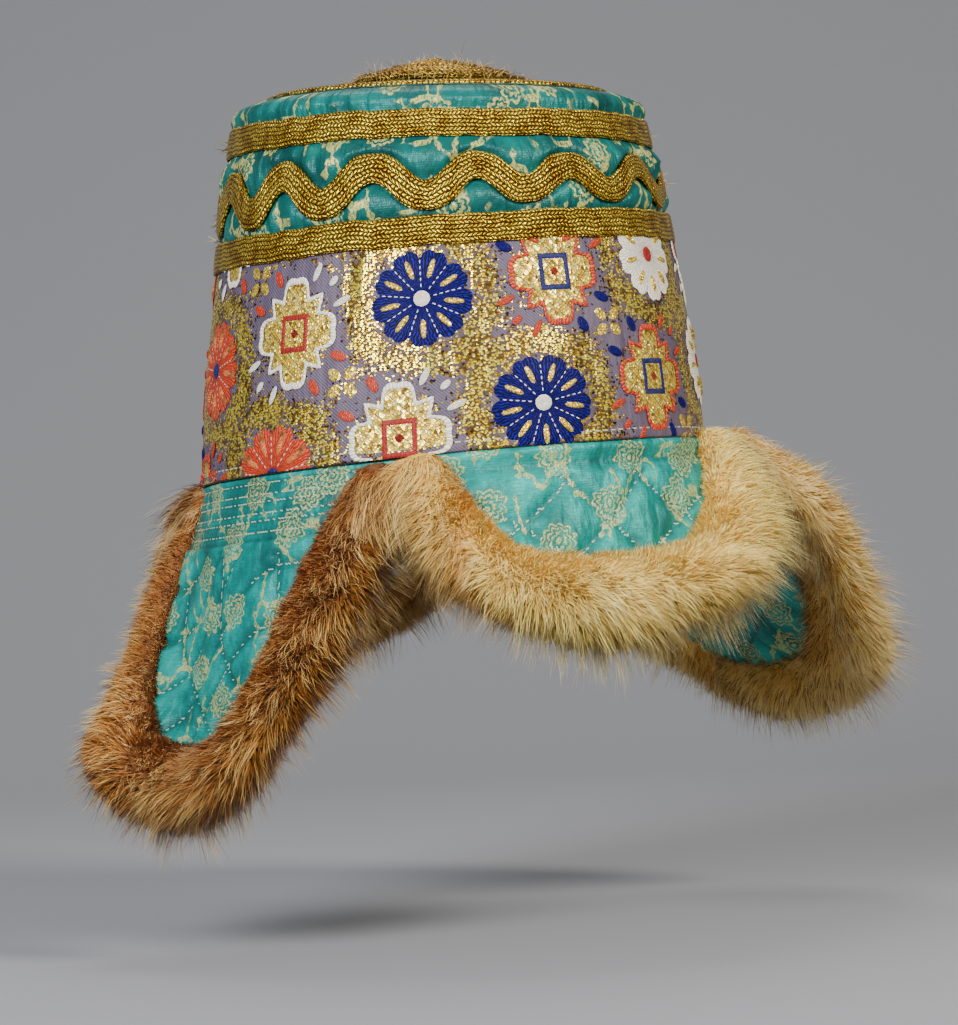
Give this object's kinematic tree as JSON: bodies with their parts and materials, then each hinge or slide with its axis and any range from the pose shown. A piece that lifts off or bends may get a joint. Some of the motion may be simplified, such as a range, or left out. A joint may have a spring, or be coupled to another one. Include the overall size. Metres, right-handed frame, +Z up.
{
  "type": "fur-trimmed hat",
  "caption": "Tall padded silk hat with a brocade band, gold braid and quilted ear, front and back flaps edged with deep fur.",
  "frame": {"origin": "middle of the head opening, in the plane of the crown's bottom edge", "axes": "+Z up to the top of the crown; -Y towards the front flap; +X towards the wearer's left ear flap, which spreads the furthest out"},
  "size_m": [0.3256, 0.2627, 0.2887],
  "materials": {
    "teal_silk": "satin, woven figures, quilted",
    "gold_braid": "metal-thread plait, glinting",
    "brocade": "gold and coloured silk flowers on a lavender ground",
    "cream_fur": "soft deep hair",
    "rust_fur": "soft deep hair, tan tips",
    "tan_fur": "soft deep hair",
    "brown_fur": "soft deep hair"
  },
  "bodies": {
    "root": {"crown_side": "teal_silk", "crown_top": "teal_silk", "brocade_band": "brocade", "lower_braid": "gold_braid", "wave_braid": "gold_braid", "upper_braid": "gold_braid", "top_braid": "gold_braid", "top_coil": "gold_braid", "front_flap": "teal_silk", "front_fur": "cream_fur", "right_ear_flap": "teal_silk", "right_ear_fur": "rust_fur", "left_ear_flap": "teal_silk", "left_ear_fur": "tan_fur", "back_flap": "teal_silk", "back_fur": "brown_fur"}
  },
  "joints": []
}
